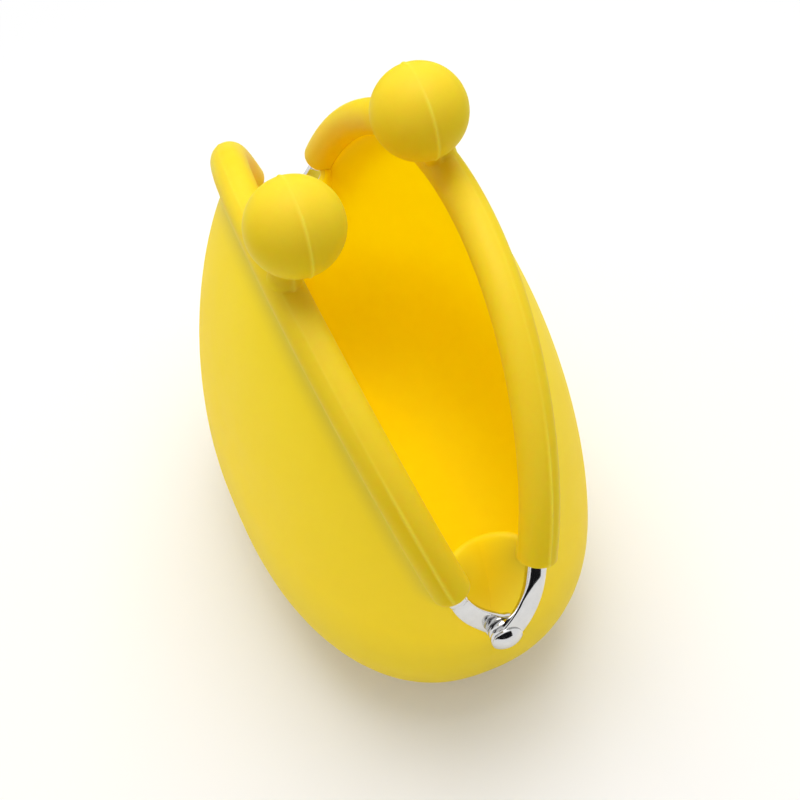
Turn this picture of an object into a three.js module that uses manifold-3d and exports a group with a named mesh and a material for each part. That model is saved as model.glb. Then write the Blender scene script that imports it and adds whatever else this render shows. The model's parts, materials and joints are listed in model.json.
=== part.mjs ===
// A kiss-lock coin purse of moulded silicone: a rounded pouch that hangs between two hinged
// steel wire arches, each covered by a silicone sleeve and carrying one covered clasp ball.
// Millimetres, +Z up. X runs along the hinge axis, the front panel faces -Y, and the origin
// is under the middle of the flat base. The two halves are the same piece turned half way
// round about Z, so each ball leans over the other half's rim when the purse is shut.
import * as THREE from "three";
import { mergeVertices } from "three/addons/utils/BufferGeometryUtils.js";
import Module from "manifold-3d";

const wasm = await Module();
wasm.setup();

// Fits
const FIT_GAP = 0.3; // between pieces that touch
const CLOSED_GAP = 0.3; // between the two rims when shut
const PASS_GAP = 0.3; // between the two balls as they pass
const SEAT_GAP = 0.15; // between a ball and the other half's rim when shut

// Steel arches and their sleeves
const ARCH_HALF_WIDTH = 45.5; // wire centre line at the height of the hinge
const ARCH_RISE = 42; // wire centre line at the crest, above the hinge
const OPEN_ANGLE = THREE.MathUtils.degToRad(15.5); // lean of each half as it stands open
const WIRE_RADIUS = 1.5;
const SLEEVE_WALL = 1.3;
const ROUND_END_RISE = 11.5; // height above the hinge of the sleeve's rounded end
const ROUND_END_RIM = 1.1; // its rounding
const SQUARE_END_RISE = 12.4; // height above the hinge of the sleeve's square cut end
const SQUARE_END_RIM = 0.25; // its broken edge

// Hinges
const HINGE_HEIGHT = 31;
const TONGUE_THICKNESS = 1;
const TONGUE_HALF_WIDTH = 1.75;
const TONGUE_LEAN = THREE.MathUtils.degToRad(16); // of the tongue, from the eye to its wire
const TONGUE_STRAIGHT = 5.5; // how far the tongue keeps its own direction above the eye
const WIRE_STRAIGHT = 3.6; // how far the wire keeps the arch's direction below the sleeve
const FLAT_SHARE = 0.35; // share of the bend, from the eye, that is fully flat
const ROUND_SHARE = 0.85; // share of the bend where the wire is round again
const TONGUE_SQUARENESS = 0.5; // exponent of the flat section, 1 for a round one
const EYE_RADIUS = 2.4;
const WASHER_THICKNESS = 0.4;
const WASHER_RADIUS = 2.2;
const RIVET_RADIUS = 1.1;
const RIVET_HEAD_RADIUS = 2.15;
const RIVET_HEAD_HEIGHT = 0.75;
const RIVET_TAIL_RADIUS = 1.7;
const RIVET_TAIL_HEIGHT = 0.6;
const RIVET_TAIL_EDGE = 0.35; // bevel round the spread tail

// Clasp balls
const BALL_RADIUS = 6.85;
const BALL_LEAN = 5.3; // how far the ball stands inward of its own rim
const BALL_SKIN = 1.5; // silicone round the steel ball
const STALK_RADIUS = 1.25;
const NECK_SKIN = 0.6; // silicone round the stalk, under the ball
const NECK_FILLET = 0.5; // height over which the neck widens to its foot on the rim

// Pouch
const POUCH_WALL = 1.6;
const BASE_HALF_LENGTH = 25.5; // flat patch that the purse stands on
const BASE_HALF_DEPTH = 8;
const BASE_POWER = 2.2;
const BELLY_INSET = 4.1; // ends of the belly, inside the arch's feet
const BELLY_HALF_DEPTH = 26.9;
const BELLY_POWER = 2.37;
const BELLY_HEIGHT = 19.5;
const BOWL_FULLNESS = 0.6; // roundness from the base up to the belly
const WALL_UPRIGHT = 0.4; // share of the height above the belly that keeps upright
const RIM_PULL_OUT = 8; // how far the wall swells out under the middle of a rim
const RIM_PULL_DOWN = 4;
const SEAM_ANGLE = THREE.MathUtils.degToRad(30); // where the wall meets the sleeve, from below
const GUSSET_DEPTH = 3.8; // inward fold of the wall between the sleeve ends
const GUSSET_LIFT = 1.2; // rise of the gusset's edge in its middle
const GUSSET_PULL_OUT = 4; // how far the wall swells out under the gusset's edge
const GUSSET_SPREAD = 0.12; // half angle of the belly that one gusset takes up

// Fineness
const ARCH_STEPS = 30;
const HINGE_STEPS = 8;
const WIRE_SIDES = 10;
const SLEEVE_SIDES = 12;
const SLEEVE_END_STEPS = 3;
const TURN_STEPS = 18;
const BALL_RINGS = 10;
const DOME_STEPS = 4;
const PANEL_STEPS = 24;
const GUSSET_STEPS = 6;
const BOWL_RINGS = 6;
const WALL_RINGS = 8;

// Sizes that follow
const BORE_RADIUS = WIRE_RADIUS + FIT_GAP;
const SLEEVE_RADIUS = BORE_RADIUS + SLEEVE_WALL;
const RIM_OFFSET = SLEEVE_RADIUS + CLOSED_GAP / 2; // arch plane from the hinge axis
const ROUND_END = Math.asin(ROUND_END_RISE / ARCH_RISE); // as an angle along the arch
const SQUARE_END = Math.PI - Math.asin(SQUARE_END_RISE / ARCH_RISE);
const BALL_SIDE = BALL_RADIUS + PASS_GAP / 2; // along X, one ball to each side
const BALL_ACROSS = 2 * RIM_OFFSET - BALL_LEAN; // shut, from the ball to the other rim
const BALL_CLEAR = BALL_RADIUS + SLEEVE_RADIUS + SEAT_GAP;
const BALL_LIFT = Math.sqrt(BALL_CLEAR ** 2 - BALL_ACROSS ** 2);
const BALL_FOOT = Math.acos(BALL_SIDE / ARCH_HALF_WIDTH); // where the stalk leaves the arch
const STALK_LENGTH = Math.hypot(BALL_LEAN, BALL_LIFT);
const NECK_RADIUS = STALK_RADIUS + FIT_GAP + NECK_SKIN;
const NECK_ACROSS = (2 * RIM_OFFSET * BALL_LIFT) / STALK_LENGTH; // shut, to the other rim
const NECK_FOOT_RADIUS = NECK_ACROSS - SLEEVE_RADIUS - SEAT_GAP;
const TONGUE_IN = ARCH_HALF_WIDTH - TONGUE_THICKNESS / 2; // middle of the inner tongue
const TONGUE_PITCH = TONGUE_THICKNESS + WASHER_THICKNESS + 2 * FIT_GAP;
const TONGUE_OUT = TONGUE_IN + TONGUE_PITCH;
const HOLE_RADIUS = RIVET_RADIUS + FIT_GAP;
const BELLY_HALF_LENGTH = ARCH_HALF_WIDTH - BELLY_INSET;
const SEAM_REACH = SLEEVE_RADIUS + FIT_GAP; // edge of the pouch from the wire's centre line

const siliconeLook = { color: 0xe6c535, roughness: 0.45, metalness: 0 };
const steelLook = { color: 0xc9c8c4, roughness: 0.18, metalness: 1 };

// Solids: a geometry as a body that can be joined and cut, and back again

function solid(geometry) {
  const plain = geometry.clone();
  plain.deleteAttribute("normal");
  plain.deleteAttribute("uv");
  const merged = mergeVertices(plain, 1e-4);
  const body = new wasm.Mesh({
    numProp: 3,
    vertProperties: new Float32Array(merged.attributes.position.array),
    triVerts: new Uint32Array(merged.index.array),
  });
  return new wasm.Manifold(body);
}

function geometryOf(body) {
  const mesh = body.getMesh();
  const geometry = new THREE.BufferGeometry();
  geometry.setAttribute("position", new THREE.BufferAttribute(mesh.vertProperties, 3));
  geometry.setIndex(new THREE.BufferAttribute(mesh.triVerts, 1));
  geometry.computeVertexNormals();
  return geometry;
}

// A closed skin over rings of points, which run anticlockwise seen from the last ring
function loft(rings) {
  const sides = rings[0].length;
  const points = rings.flat();
  const faces = [];
  for (let i = 0; i + 1 < rings.length; i++) {
    for (let j = 0; j < sides; j++) {
      const a = i * sides + j;
      const b = i * sides + ((j + 1) % sides);
      faces.push(a, b, b + sides, a, b + sides, a + sides);
    }
  }
  for (const [ring, flip] of [[0, true], [rings.length - 1, false]]) {
    const middle = new THREE.Vector3();
    rings[ring].forEach((p) => middle.addScaledVector(p, 1 / sides));
    points.push(middle);
    for (let j = 0; j < sides; j++) {
      const a = ring * sides + j;
      const b = ring * sides + ((j + 1) % sides);
      faces.push(...(flip ? [b, a] : [a, b]), points.length - 1);
    }
  }
  return new THREE.BufferGeometry().setFromPoints(points).setIndex(faces);
}

// A bar along a line of points. sizeAt gives its half thickness in the plane of the arch,
// its half width across that plane and the squareness of its section.
function bar(line, sides, sizeAt) {
  const rings = line.map((centre, i) => {
    const before = line[Math.max(i - 1, 0)];
    const after = line[Math.min(i + 1, line.length - 1)];
    const along = after.clone().sub(before).normalize();
    const out = new THREE.Vector3(0, 1, 0).cross(along).normalize();
    const across = along.clone().cross(out);
    const { thick, wide, power } = sizeAt(i);
    return Array.from({ length: sides }, (_, j) => {
      const turn = ((j + 0.5) / sides) * 2 * Math.PI;
      const c = Math.cos(turn);
      const s = Math.sin(turn);
      return centre
        .clone()
        .addScaledVector(out, thick * Math.sign(c) * Math.abs(c) ** power)
        .addScaledVector(across, wide * Math.sign(s) * Math.abs(s) ** power);
    });
  });
  return loft(rings);
}

function rod(radius, from, to) {
  const length = from.distanceTo(to);
  const geometry = new THREE.CylinderGeometry(radius, radius, length, WIRE_SIDES);
  geometry.translate(0, length / 2, 0);
  const along = to.clone().sub(from).normalize();
  const turn = new THREE.Quaternion().setFromUnitVectors(new THREE.Vector3(0, 1, 0), along);
  return geometry.applyQuaternion(turn).translate(...from.toArray());
}

// A turned piece about the X axis, from a profile of [radius, x] points
function turned(profile) {
  const points = profile.map(([radius, x]) => new THREE.Vector2(radius, x));
  return new THREE.LatheGeometry(points, TURN_STEPS).rotateZ(-Math.PI / 2);
}

// The arch: half an ellipse above the hinge axis, in the frame of one shut half

function archPoint(t) {
  return new THREE.Vector3(ARCH_HALF_WIDTH * Math.cos(t), -RIM_OFFSET, ARCH_RISE * Math.sin(t));
}

function archInward(t) {
  return new THREE.Vector3(-Math.cos(t) / ARCH_HALF_WIDTH, 0, -Math.sin(t) / ARCH_RISE).normalize();
}

function archLine(from, to, steps) {
  return Array.from({ length: steps + 1 }, (_, i) => archPoint(from + ((to - from) * i) / steps));
}

// From the sleeve's end at t down to the eye: a bend that leans in to the hinge axis
function hingeLine(t, eyeX) {
  const top = archPoint(t);
  const eye = new THREE.Vector3(eyeX, 0, 0);
  const slope = archInward(t).cross(new THREE.Vector3(0, Math.sign(eyeX), 0));
  const lean = new THREE.Vector3(0, -Math.sin(TONGUE_LEAN), Math.cos(TONGUE_LEAN));
  const bend = new THREE.CubicBezierCurve3(
    top,
    top.clone().addScaledVector(slope, WIRE_STRAIGHT),
    eye.clone().addScaledVector(lean, TONGUE_STRAIGHT),
    eye,
  );
  return bend.getPoints(HINGE_STEPS);
}

// One wire from eye to eye: round under the sleeve, hammered flat into a tongue at each end.
// The tongue at -X runs outside the other half's tongue, and the one at +X inside it.
function frameGeometry() {
  const left = hingeLine(SQUARE_END, -TONGUE_OUT).reverse();
  const right = hingeLine(ROUND_END, TONGUE_IN);
  const middle = archLine(SQUARE_END, ROUND_END, ARCH_STEPS).slice(1, -1);
  const line = [...left, ...middle, ...right];
  const wire = bar(line, WIRE_SIDES, (i) => {
    const fromEye = Math.min(i, line.length - 1 - i) / HINGE_STEPS;
    const flat = 1 - THREE.MathUtils.smoothstep(fromEye, FLAT_SHARE, ROUND_SHARE);
    return {
      thick: THREE.MathUtils.lerp(WIRE_RADIUS, TONGUE_THICKNESS / 2, flat),
      wide: THREE.MathUtils.lerp(WIRE_RADIUS, TONGUE_HALF_WIDTH, flat),
      power: THREE.MathUtils.lerp(1, TONGUE_SQUARENESS, flat),
    };
  });
  let body = solid(wire);
  for (const x of [-TONGUE_OUT, TONGUE_IN]) {
    const half = new THREE.Vector3(TONGUE_THICKNESS / 2, 0, 0);
    const middleOfEye = new THREE.Vector3(x, 0, 0);
    const eye = rod(EYE_RADIUS, middleOfEye.clone().sub(half), middleOfEye.clone().add(half));
    const past = half.clone().multiplyScalar(3);
    const hole = rod(HOLE_RADIUS, middleOfEye.clone().sub(past), middleOfEye.clone().add(past));
    body = body.add(solid(eye)).subtract(solid(hole));
  }
  return geometryOf(body);
}

// The stalk's line, from the wire's middle to the ball's middle
function stalkEnds() {
  const foot = archPoint(BALL_FOOT);
  const ball = new THREE.Vector3(BALL_SIDE, BALL_LEAN - RIM_OFFSET, foot.z + BALL_LIFT);
  return [foot, ball];
}

// A round bar along the sleeve, whose ends run past the sleeve's by the angle overrun
function roundBar(radius, sides, overrun = 0) {
  const round = { thick: radius, wide: radius, power: 1 };
  const line = archLine(SQUARE_END + overrun, ROUND_END - overrun, ARCH_STEPS);
  return bar(line, sides, () => round);
}

// Silicone tube over the wire, with one square and one rounded end and a hole for the stalk
function sleeveGeometry() {
  const pace = Math.hypot(ARCH_HALF_WIDTH * Math.sin(ROUND_END), ARCH_RISE * Math.cos(ROUND_END));
  const end = (t, inward, rim) =>
    Array.from({ length: SLEEVE_END_STEPS }, (_, i) => {
      const turn = ((i / SLEEVE_END_STEPS) * Math.PI) / 2;
      const point = archPoint(t + ((inward * rim) / pace) * (1 - Math.cos(turn)));
      return { point, radius: SLEEVE_RADIUS - rim * (1 - Math.sin(turn)) };
    });
  const from = SQUARE_END - SQUARE_END_RIM / pace;
  const to = ROUND_END + ROUND_END_RIM / pace;
  const stations = [
    ...end(SQUARE_END, -1, SQUARE_END_RIM),
    ...archLine(from, to, ARCH_STEPS).map((point) => ({ point, radius: SLEEVE_RADIUS })),
    ...end(ROUND_END, 1, ROUND_END_RIM).reverse(),
  ];
  const outside = bar(
    stations.map(({ point }) => point),
    SLEEVE_SIDES,
    (i) => ({ thick: stations[i].radius, wide: stations[i].radius, power: 1 }),
  );
  const bore = roundBar(BORE_RADIUS, WIRE_SIDES, SLEEVE_RADIUS / pace);
  const hole = rod(STALK_RADIUS + FIT_GAP, ...stalkEnds());
  return geometryOf(solid(outside).subtract(solid(bore)).subtract(solid(hole)));
}

// Steel stalk and ball, saddled on the wire
function studGeometry() {
  const [foot, ball] = stalkEnds();
  const core = new THREE.SphereGeometry(BALL_RADIUS - BALL_SKIN - FIT_GAP, TURN_STEPS, BALL_RINGS);
  core.translate(...ball.toArray());
  const body = solid(rod(STALK_RADIUS, foot, ball)).add(solid(core));
  return geometryOf(body.subtract(solid(roundBar(BORE_RADIUS, WIRE_SIDES))));
}

// Silicone skin of the ball, with a short flared neck that stands on the sleeve
function ballCoverGeometry() {
  const [foot, ball] = stalkEnds();
  const profile = [
    [0, 0],
    [NECK_FOOT_RADIUS, 0],
    [NECK_FOOT_RADIUS, SLEEVE_RADIUS],
    [NECK_RADIUS, SLEEVE_RADIUS + NECK_FILLET],
    [NECK_RADIUS, STALK_LENGTH],
    [0, STALK_LENGTH],
  ].map(([radius, height]) => new THREE.Vector2(radius, height));
  const along = ball.clone().sub(foot).normalize();
  const turn = new THREE.Quaternion().setFromUnitVectors(new THREE.Vector3(0, 1, 0), along);
  const stem = new THREE.LatheGeometry(profile, TURN_STEPS).applyQuaternion(turn);
  stem.translate(...foot.toArray());
  const skin = new THREE.SphereGeometry(BALL_RADIUS, TURN_STEPS, BALL_RINGS);
  skin.applyQuaternion(turn).translate(...ball.toArray());
  const hollow = new THREE.SphereGeometry(BALL_RADIUS - BALL_SKIN, TURN_STEPS, BALL_RINGS);
  hollow.translate(...ball.toArray());
  const rim = roundBar(SLEEVE_RADIUS + FIT_GAP, SLEEVE_SIDES);
  const body = solid(skin)
    .add(solid(stem))
    .subtract(solid(hollow))
    .subtract(solid(rod(STALK_RADIUS + FIT_GAP, foot, ball)))
    .subtract(solid(rim));
  return geometryOf(body);
}

// Domed rivet through both eyes, its head outside and its spread tail inside. It is made for
// the hinge at -X, where this half's tongue is the outer one.
function rivetGeometry() {
  const headSeat = TONGUE_OUT + TONGUE_THICKNESS / 2 + FIT_GAP;
  const tailSeat = TONGUE_IN - TONGUE_THICKNESS / 2 - FIT_GAP;
  const dome = Array.from({ length: DOME_STEPS }, (_, i) => {
    const turn = ((i / DOME_STEPS) * Math.PI) / 2;
    return [RIVET_HEAD_RADIUS * Math.cos(turn), headSeat + RIVET_HEAD_HEIGHT * Math.sin(turn)];
  });
  const profile = [
    [0, tailSeat - RIVET_TAIL_HEIGHT],
    [RIVET_TAIL_RADIUS - RIVET_TAIL_EDGE, tailSeat - RIVET_TAIL_HEIGHT],
    [RIVET_TAIL_RADIUS, tailSeat - RIVET_TAIL_HEIGHT + RIVET_TAIL_EDGE],
    [RIVET_TAIL_RADIUS, tailSeat],
    [RIVET_RADIUS, tailSeat],
    [RIVET_RADIUS, headSeat],
    ...dome,
    [0, headSeat + RIVET_HEAD_HEIGHT],
  ];
  return turned(profile).rotateZ(Math.PI);
}

function washerGeometry() {
  const near = TONGUE_IN + TONGUE_THICKNESS / 2 + FIT_GAP;
  const far = near + WASHER_THICKNESS;
  const profile = [
    [HOLE_RADIUS, near],
    [WASHER_RADIUS, near],
    [WASHER_RADIUS, far],
    [HOLE_RADIUS, far],
    [HOLE_RADIUS, near],
  ];
  return turned(profile).rotateZ(Math.PI);
}

// The pouch: meridians from the flat base out to the belly and up to the edge of the mouth,
// which follows the underside of both sleeves and folds inward between their ends.

function oval(turn, halfLength, halfDepth, power) {
  const c = Math.cos(turn);
  const s = Math.sin(turn);
  return new THREE.Vector2(
    halfLength * Math.sign(c) * Math.abs(c) ** (2 / power),
    halfDepth * Math.sign(s) * Math.abs(s) ** (2 / power),
  );
}

// Places a point or a direction of the shut front half where the open half stands
const HALF_TURN = new THREE.Vector3(0, 0, 1);
const HINGE_LINE = new THREE.Vector3(1, 0, 0);

function standOpen(vector, rear) {
  vector.applyAxisAngle(HINGE_LINE, OPEN_ANGLE);
  return rear ? vector.applyAxisAngle(HALF_TURN, Math.PI) : vector;
}

// Where the wall meets a sleeve: under it and a little to its outer side
function seam(t, rear) {
  const point = archPoint(t).addScaledVector(archInward(t), SEAM_REACH * Math.cos(SEAM_ANGLE));
  point.y -= SEAM_REACH * Math.sin(SEAM_ANGLE);
  standOpen(point, rear);
  point.z += HINGE_HEIGHT;
  return point;
}

// The mouth's edge goes round from the right end: along the rear rim, across the left end,
// along the front rim and across the right end. Each entry holds its point, the pull that the
// wall leaves it with, and its angle round the belly.
function mouthEdge() {
  const edge = [];
  for (const rear of [true, false]) {
    const start = rear ? 0 : Math.PI;
    for (let i = 0; i < PANEL_STEPS; i++) {
      const share = i / PANEL_STEPS;
      const t = SQUARE_END + share * (ROUND_END - SQUARE_END);
      const turn = start + GUSSET_SPREAD + share * (Math.PI - 2 * GUSSET_SPREAD);
      const swell = RIM_PULL_OUT * Math.abs(Math.sin(turn));
      const pull = standOpen(new THREE.Vector3(0, -swell, -RIM_PULL_DOWN), rear);
      edge.push({ point: seam(t, rear), pull, turn });
    }
    const end = rear ? -1 : 1;
    const corner = seam(ROUND_END, rear);
    const opposite = seam(SQUARE_END, !rear);
    for (let i = 0; i < GUSSET_STEPS; i++) {
      const share = i / GUSSET_STEPS;
      const fold = 4 * share * (1 - share);
      const point = corner.clone().lerp(opposite, share);
      point.x -= end * GUSSET_DEPTH * fold;
      point.z += GUSSET_LIFT * fold;
      const pull = new THREE.Vector3(end * GUSSET_PULL_OUT * fold, 0, -RIM_PULL_DOWN);
      const turn = start + Math.PI - GUSSET_SPREAD + 2 * GUSSET_SPREAD * share;
      edge.push({ point, pull, turn });
    }
  }
  return edge;
}

function meridian({ point, pull, turn }) {
  const base = oval(turn, BASE_HALF_LENGTH, BASE_HALF_DEPTH, BASE_POWER);
  const belly = oval(turn, BELLY_HALF_LENGTH, BELLY_HALF_DEPTH, BELLY_POWER);
  const low = new THREE.Vector3(base.x, base.y, 0);
  const wide = new THREE.Vector3(belly.x, belly.y, BELLY_HEIGHT);
  const outward = new THREE.Vector3(belly.x - base.x, belly.y - base.y, 0);
  const bowl = new THREE.CubicBezierCurve3(
    low,
    low.clone().addScaledVector(outward, BOWL_FULLNESS),
    wide.clone().add(new THREE.Vector3(0, 0, -BELLY_HEIGHT * BOWL_FULLNESS)),
    wide,
  );
  const wall = new THREE.CubicBezierCurve3(
    wide,
    wide.clone().add(new THREE.Vector3(0, 0, (point.z - BELLY_HEIGHT) * WALL_UPRIGHT)),
    point.clone().add(pull),
    point,
  );
  return [...bowl.getPoints(BOWL_RINGS), ...wall.getPoints(WALL_RINGS).slice(1)];
}

function pouchGeometry() {
  const meridians = mouthEdge().map(meridian);
  const around = meridians.length;
  const rings = meridians[0].length;
  const outer = [new THREE.Vector3(), ...meridians.flat()];
  const sheet = [];
  for (let i = 0; i < around; i++) {
    const a = 1 + i * rings;
    const b = 1 + ((i + 1) % around) * rings;
    sheet.push(0, b, a);
    for (let j = 0; j + 1 < rings; j++) {
      sheet.push(a + j, b + j, b + j + 1, a + j, b + j + 1, a + j + 1);
    }
  }
  const skin = new THREE.BufferGeometry().setFromPoints(outer).setIndex(sheet);
  skin.computeVertexNormals();
  const normals = skin.getAttribute("normal");
  const inner = outer.map((p, i) => {
    const normal = new THREE.Vector3().fromBufferAttribute(normals, i);
    return p.clone().addScaledVector(normal, -POUCH_WALL);
  });
  const count = outer.length;
  const faces = [...sheet];
  for (let i = 0; i < sheet.length; i += 3) {
    faces.push(sheet[i] + count, sheet[i + 2] + count, sheet[i + 1] + count);
  }
  for (let i = 0; i < around; i++) {
    const a = (i + 1) * rings;
    const b = (((i + 1) % around) + 1) * rings;
    faces.push(a, b, b + count, a, b + count, a + count);
  }
  return new THREE.BufferGeometry().setFromPoints([...outer, ...inner]).setIndex(faces);
}

// Assembly

function piece(name, geometry, look) {
  const mesh = new THREE.Mesh(geometry, new THREE.MeshStandardMaterial(look));
  mesh.name = name;
  return mesh;
}

// One half, leaning open about the hinge axis, with the rivet of the hinge that it covers
function half(side, hinge) {
  const group = new THREE.Group();
  group.rotation.x = OPEN_ANGLE;
  group.add(
    piece(`${side}_frame`, frameGeometry(), steelLook),
    piece(`${side}_rim_sleeve`, sleeveGeometry(), siliconeLook),
    piece(`${side}_clasp_stud`, studGeometry(), steelLook),
    piece(`${side}_ball_cover`, ballCoverGeometry(), siliconeLook),
    piece(`${hinge}_rivet`, rivetGeometry(), steelLook),
    piece(`${hinge}_washer`, washerGeometry(), steelLook),
  );
  return group;
}

const purse = new THREE.Group();
purse.add(piece("pouch", pouchGeometry(), siliconeLook));

const hingeAxis = new THREE.Group();
hingeAxis.position.z = HINGE_HEIGHT;
const rearTurn = new THREE.Group();
rearTurn.rotation.z = Math.PI;
rearTurn.add(half("rear", "right"));
hingeAxis.add(half("front", "left"), rearTurn);
purse.add(hingeAxis);

export default purse;
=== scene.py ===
# A kiss-lock coin purse of yellow moulded silicone on a riveted steel frame, standing open
import json
import math

import bmesh
import bpy
import numpy as np
from mathutils import Matrix, Vector
from mathutils.kdtree import KDTree


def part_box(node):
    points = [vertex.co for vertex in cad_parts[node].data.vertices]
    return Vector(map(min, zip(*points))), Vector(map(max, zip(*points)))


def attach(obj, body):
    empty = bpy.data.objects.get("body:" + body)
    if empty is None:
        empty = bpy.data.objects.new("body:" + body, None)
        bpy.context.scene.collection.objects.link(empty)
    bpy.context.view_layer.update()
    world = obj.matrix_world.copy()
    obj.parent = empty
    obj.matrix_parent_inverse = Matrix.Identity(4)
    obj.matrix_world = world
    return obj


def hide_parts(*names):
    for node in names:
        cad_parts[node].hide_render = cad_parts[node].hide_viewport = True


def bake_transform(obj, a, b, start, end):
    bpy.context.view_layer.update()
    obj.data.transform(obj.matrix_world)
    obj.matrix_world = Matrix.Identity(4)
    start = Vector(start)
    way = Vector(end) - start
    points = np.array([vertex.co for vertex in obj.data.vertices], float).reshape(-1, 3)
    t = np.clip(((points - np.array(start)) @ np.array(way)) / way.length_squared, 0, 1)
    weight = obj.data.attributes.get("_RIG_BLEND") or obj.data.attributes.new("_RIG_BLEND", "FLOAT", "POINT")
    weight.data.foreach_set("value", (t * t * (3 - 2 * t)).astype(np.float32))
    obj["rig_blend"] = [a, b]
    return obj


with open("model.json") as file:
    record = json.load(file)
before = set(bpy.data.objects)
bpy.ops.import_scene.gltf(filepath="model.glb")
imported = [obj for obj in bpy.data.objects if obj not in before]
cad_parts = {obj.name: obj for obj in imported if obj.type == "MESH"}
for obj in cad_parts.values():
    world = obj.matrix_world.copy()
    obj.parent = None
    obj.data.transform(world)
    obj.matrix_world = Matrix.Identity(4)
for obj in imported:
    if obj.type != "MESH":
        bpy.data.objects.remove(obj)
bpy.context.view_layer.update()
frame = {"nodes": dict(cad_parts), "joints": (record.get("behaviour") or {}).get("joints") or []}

# Camera
# It looks down at the purse from beyond the right-hand hinge, a little from the front. Its place and
# lens were fitted to the outline, the rims, the balls and the near hinge in the photograph.
MM = 0.001
VIEW_TURN = math.radians(73.82)
VIEW_TILT = math.radians(38.35)
VIEW_ROLL = math.radians(-6.63)
VIEW_DISTANCE = 296.7 * MM
VIEW_NEAREST = 10 * MM
VIEW_LENS = 85.5
VIEW_SHIFT = (0.0186, -0.0029)
hinge = Vector(frame["joints"][0]["pos_m"])
aim = Matrix.Rotation(VIEW_TURN, 4, "Z") @ Matrix.Rotation(VIEW_TILT, 4, "X")
aim = aim @ Matrix.Rotation(VIEW_ROLL, 4, "Z")
camera = bpy.data.objects.new("camera", bpy.data.cameras.new("camera"))
camera.data.lens = VIEW_LENS
camera.data.shift_x, camera.data.shift_y = VIEW_SHIFT
camera.data.clip_start = VIEW_NEAREST
camera.matrix_world = Matrix.Translation(hinge + aim @ Vector((0, 0, VIEW_DISTANCE))) @ aim
bpy.context.scene.collection.objects.link(camera)
bpy.context.scene.camera = camera

# Pouch
# One soft silicone moulding with a rounded belly and a gusset folded in at each end. It is made here
# as a front and a rear half shell that meet in the middle, and each half leans with its own rim.
POUCH_WALL = 1.6 * MM
ARCH_HALF_WIDTH = 45.5 * MM
ARCH_RISE = 42 * MM
RIM_OFFSET = 3.25 * MM  # of a wire from the middle of the shut purse
OPEN_ANGLE = math.radians(15.5)  # of each half from upright
SLEEVE_RADIUS = 2.85 * MM
ROUND_END = math.asin(11.5 * MM / ARCH_RISE)  # the sleeve's rounded end, as an angle along the arch
SQUARE_END = math.pi - math.asin(12.4 * MM / ARCH_RISE)  # its square cut end
BASE_HALF_LENGTH = 25.5 * MM
BASE_HALF_DEPTH = 8 * MM
BASE_POWER = 2.2  # 2 is an ellipse, more has fuller ends
BASE_MIDDLE = 0.9  # length of the base along its middle line, as a share of its outline
BELLY_HALF_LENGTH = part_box("pouch")[1].x
BELLY_HALF_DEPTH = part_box("pouch")[1].y
BELLY_POWER = 2.37
BELLY_HEIGHT = 19.5 * MM
BOWL_FULLNESS = 0.6  # how far the bowl reaches into the corner under the belly
WALL_UPRIGHT = 0.4  # how far the wall tends upright from the belly, as a share of its height
RIM_PULL_OUT = 8 * MM  # with the next, the way in which the wall leaves its rim
RIM_PULL_DOWN = 4 * MM
SEAM_ANGLE = math.radians(30)  # from straight under the wire to its outer side
SEAM_REACH = 2.5 * MM  # the wall's edge is buried in the sleeve
SEAM_FILLET = 2.8 * MM  # reach of the soft valley between wall and sleeve
SEAM_THINNING = 0.6  # share of the wall that is gone where it enters the sleeve
THICK_REACH = 5 * MM  # how far from the sleeve the moulding is too thick for light to pass; there it is also painted with shade
FOLD_THINNING = 1.1  # how much more light passes the fold of the gusset
GUSSET_DEPTH = 3.8 * MM
GUSSET_LIFT = 1.2 * MM
GUSSET_PULL_OUT = 4 * MM
GUSSET_SPREAD = 0.12  # half of a gusset's turn round the belly, in radians
PANEL_SHARE = 0.86  # share of the mesh's columns that lie on the panel
POUCH_COLUMNS = 180
POUCH_BORDER = 0.001  # narrow columns where the half shells meet, so that they shade alike
HALF_SLIT = 0.01 * MM  # of each half shell from the middle
BASE_ROWS, BOWL_ROWS, WALL_ROWS, LIP_ROWS = 5, 18, 44, 10
THICK_BASE_ROWS = (26, 16)  # rows over which the thick base thins out, outside and inside; outside, the painted shade fades over the same rows
LIP_MIDDLE = BASE_ROWS + BOWL_ROWS + WALL_ROWS + LIP_ROWS // 2
WIRE_SAMPLES = 200  # points of the wire from which the wall's distance is taken
MERGE_REACH = 0.0005 * MM
LEAN_START = Vector((0, 0, 39 * MM))  # below the middle of a gusset's lip, which hardly moves
LEAN_TILT = math.radians(50)
LEAN_REACH = 15 * MM  # over which the wall comes to lean fully with its rim
LEAN_WAY = Vector((0, -math.sin(LEAN_TILT), math.cos(LEAN_TILT))) * LEAN_REACH
STAND_OPEN = Matrix.Translation(hinge) @ Matrix.Rotation(OPEN_ANGLE, 4, "X")
TURN_ROUND = Matrix.Rotation(math.pi, 4, "Z")
HALVES = (("front", Matrix.Identity(4)), ("rear", TURN_ROUND))


def arch_point(t):
    """A point of the front wire's middle line, in the upright half, with the hinge axis at zero."""
    return Vector((ARCH_HALF_WIDTH * math.cos(t), -RIM_OFFSET, ARCH_RISE * math.sin(t)))


def arch_inward(t):
    """The direction from the wire to the inside of the arch."""
    return Vector((-math.cos(t) / ARCH_HALF_WIDTH, 0, -math.sin(t) / ARCH_RISE)).normalized()


def bezier(a, b, c, d, share):
    rest = 1 - share
    return a * rest**3 + b * (3 * rest**2 * share) + c * (3 * rest * share**2) + d * share**3


def oval(turn, half_length, half_depth, power):
    """A point of a full-ended oval. The turn starts at the right end and runs anticlockwise."""
    c, s = math.cos(turn), math.sin(turn)
    return Vector((
        half_length * math.copysign(abs(c) ** (2 / power), c),
        half_depth * math.copysign(abs(s) ** (2 / power), s),
        0,
    ))


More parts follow.
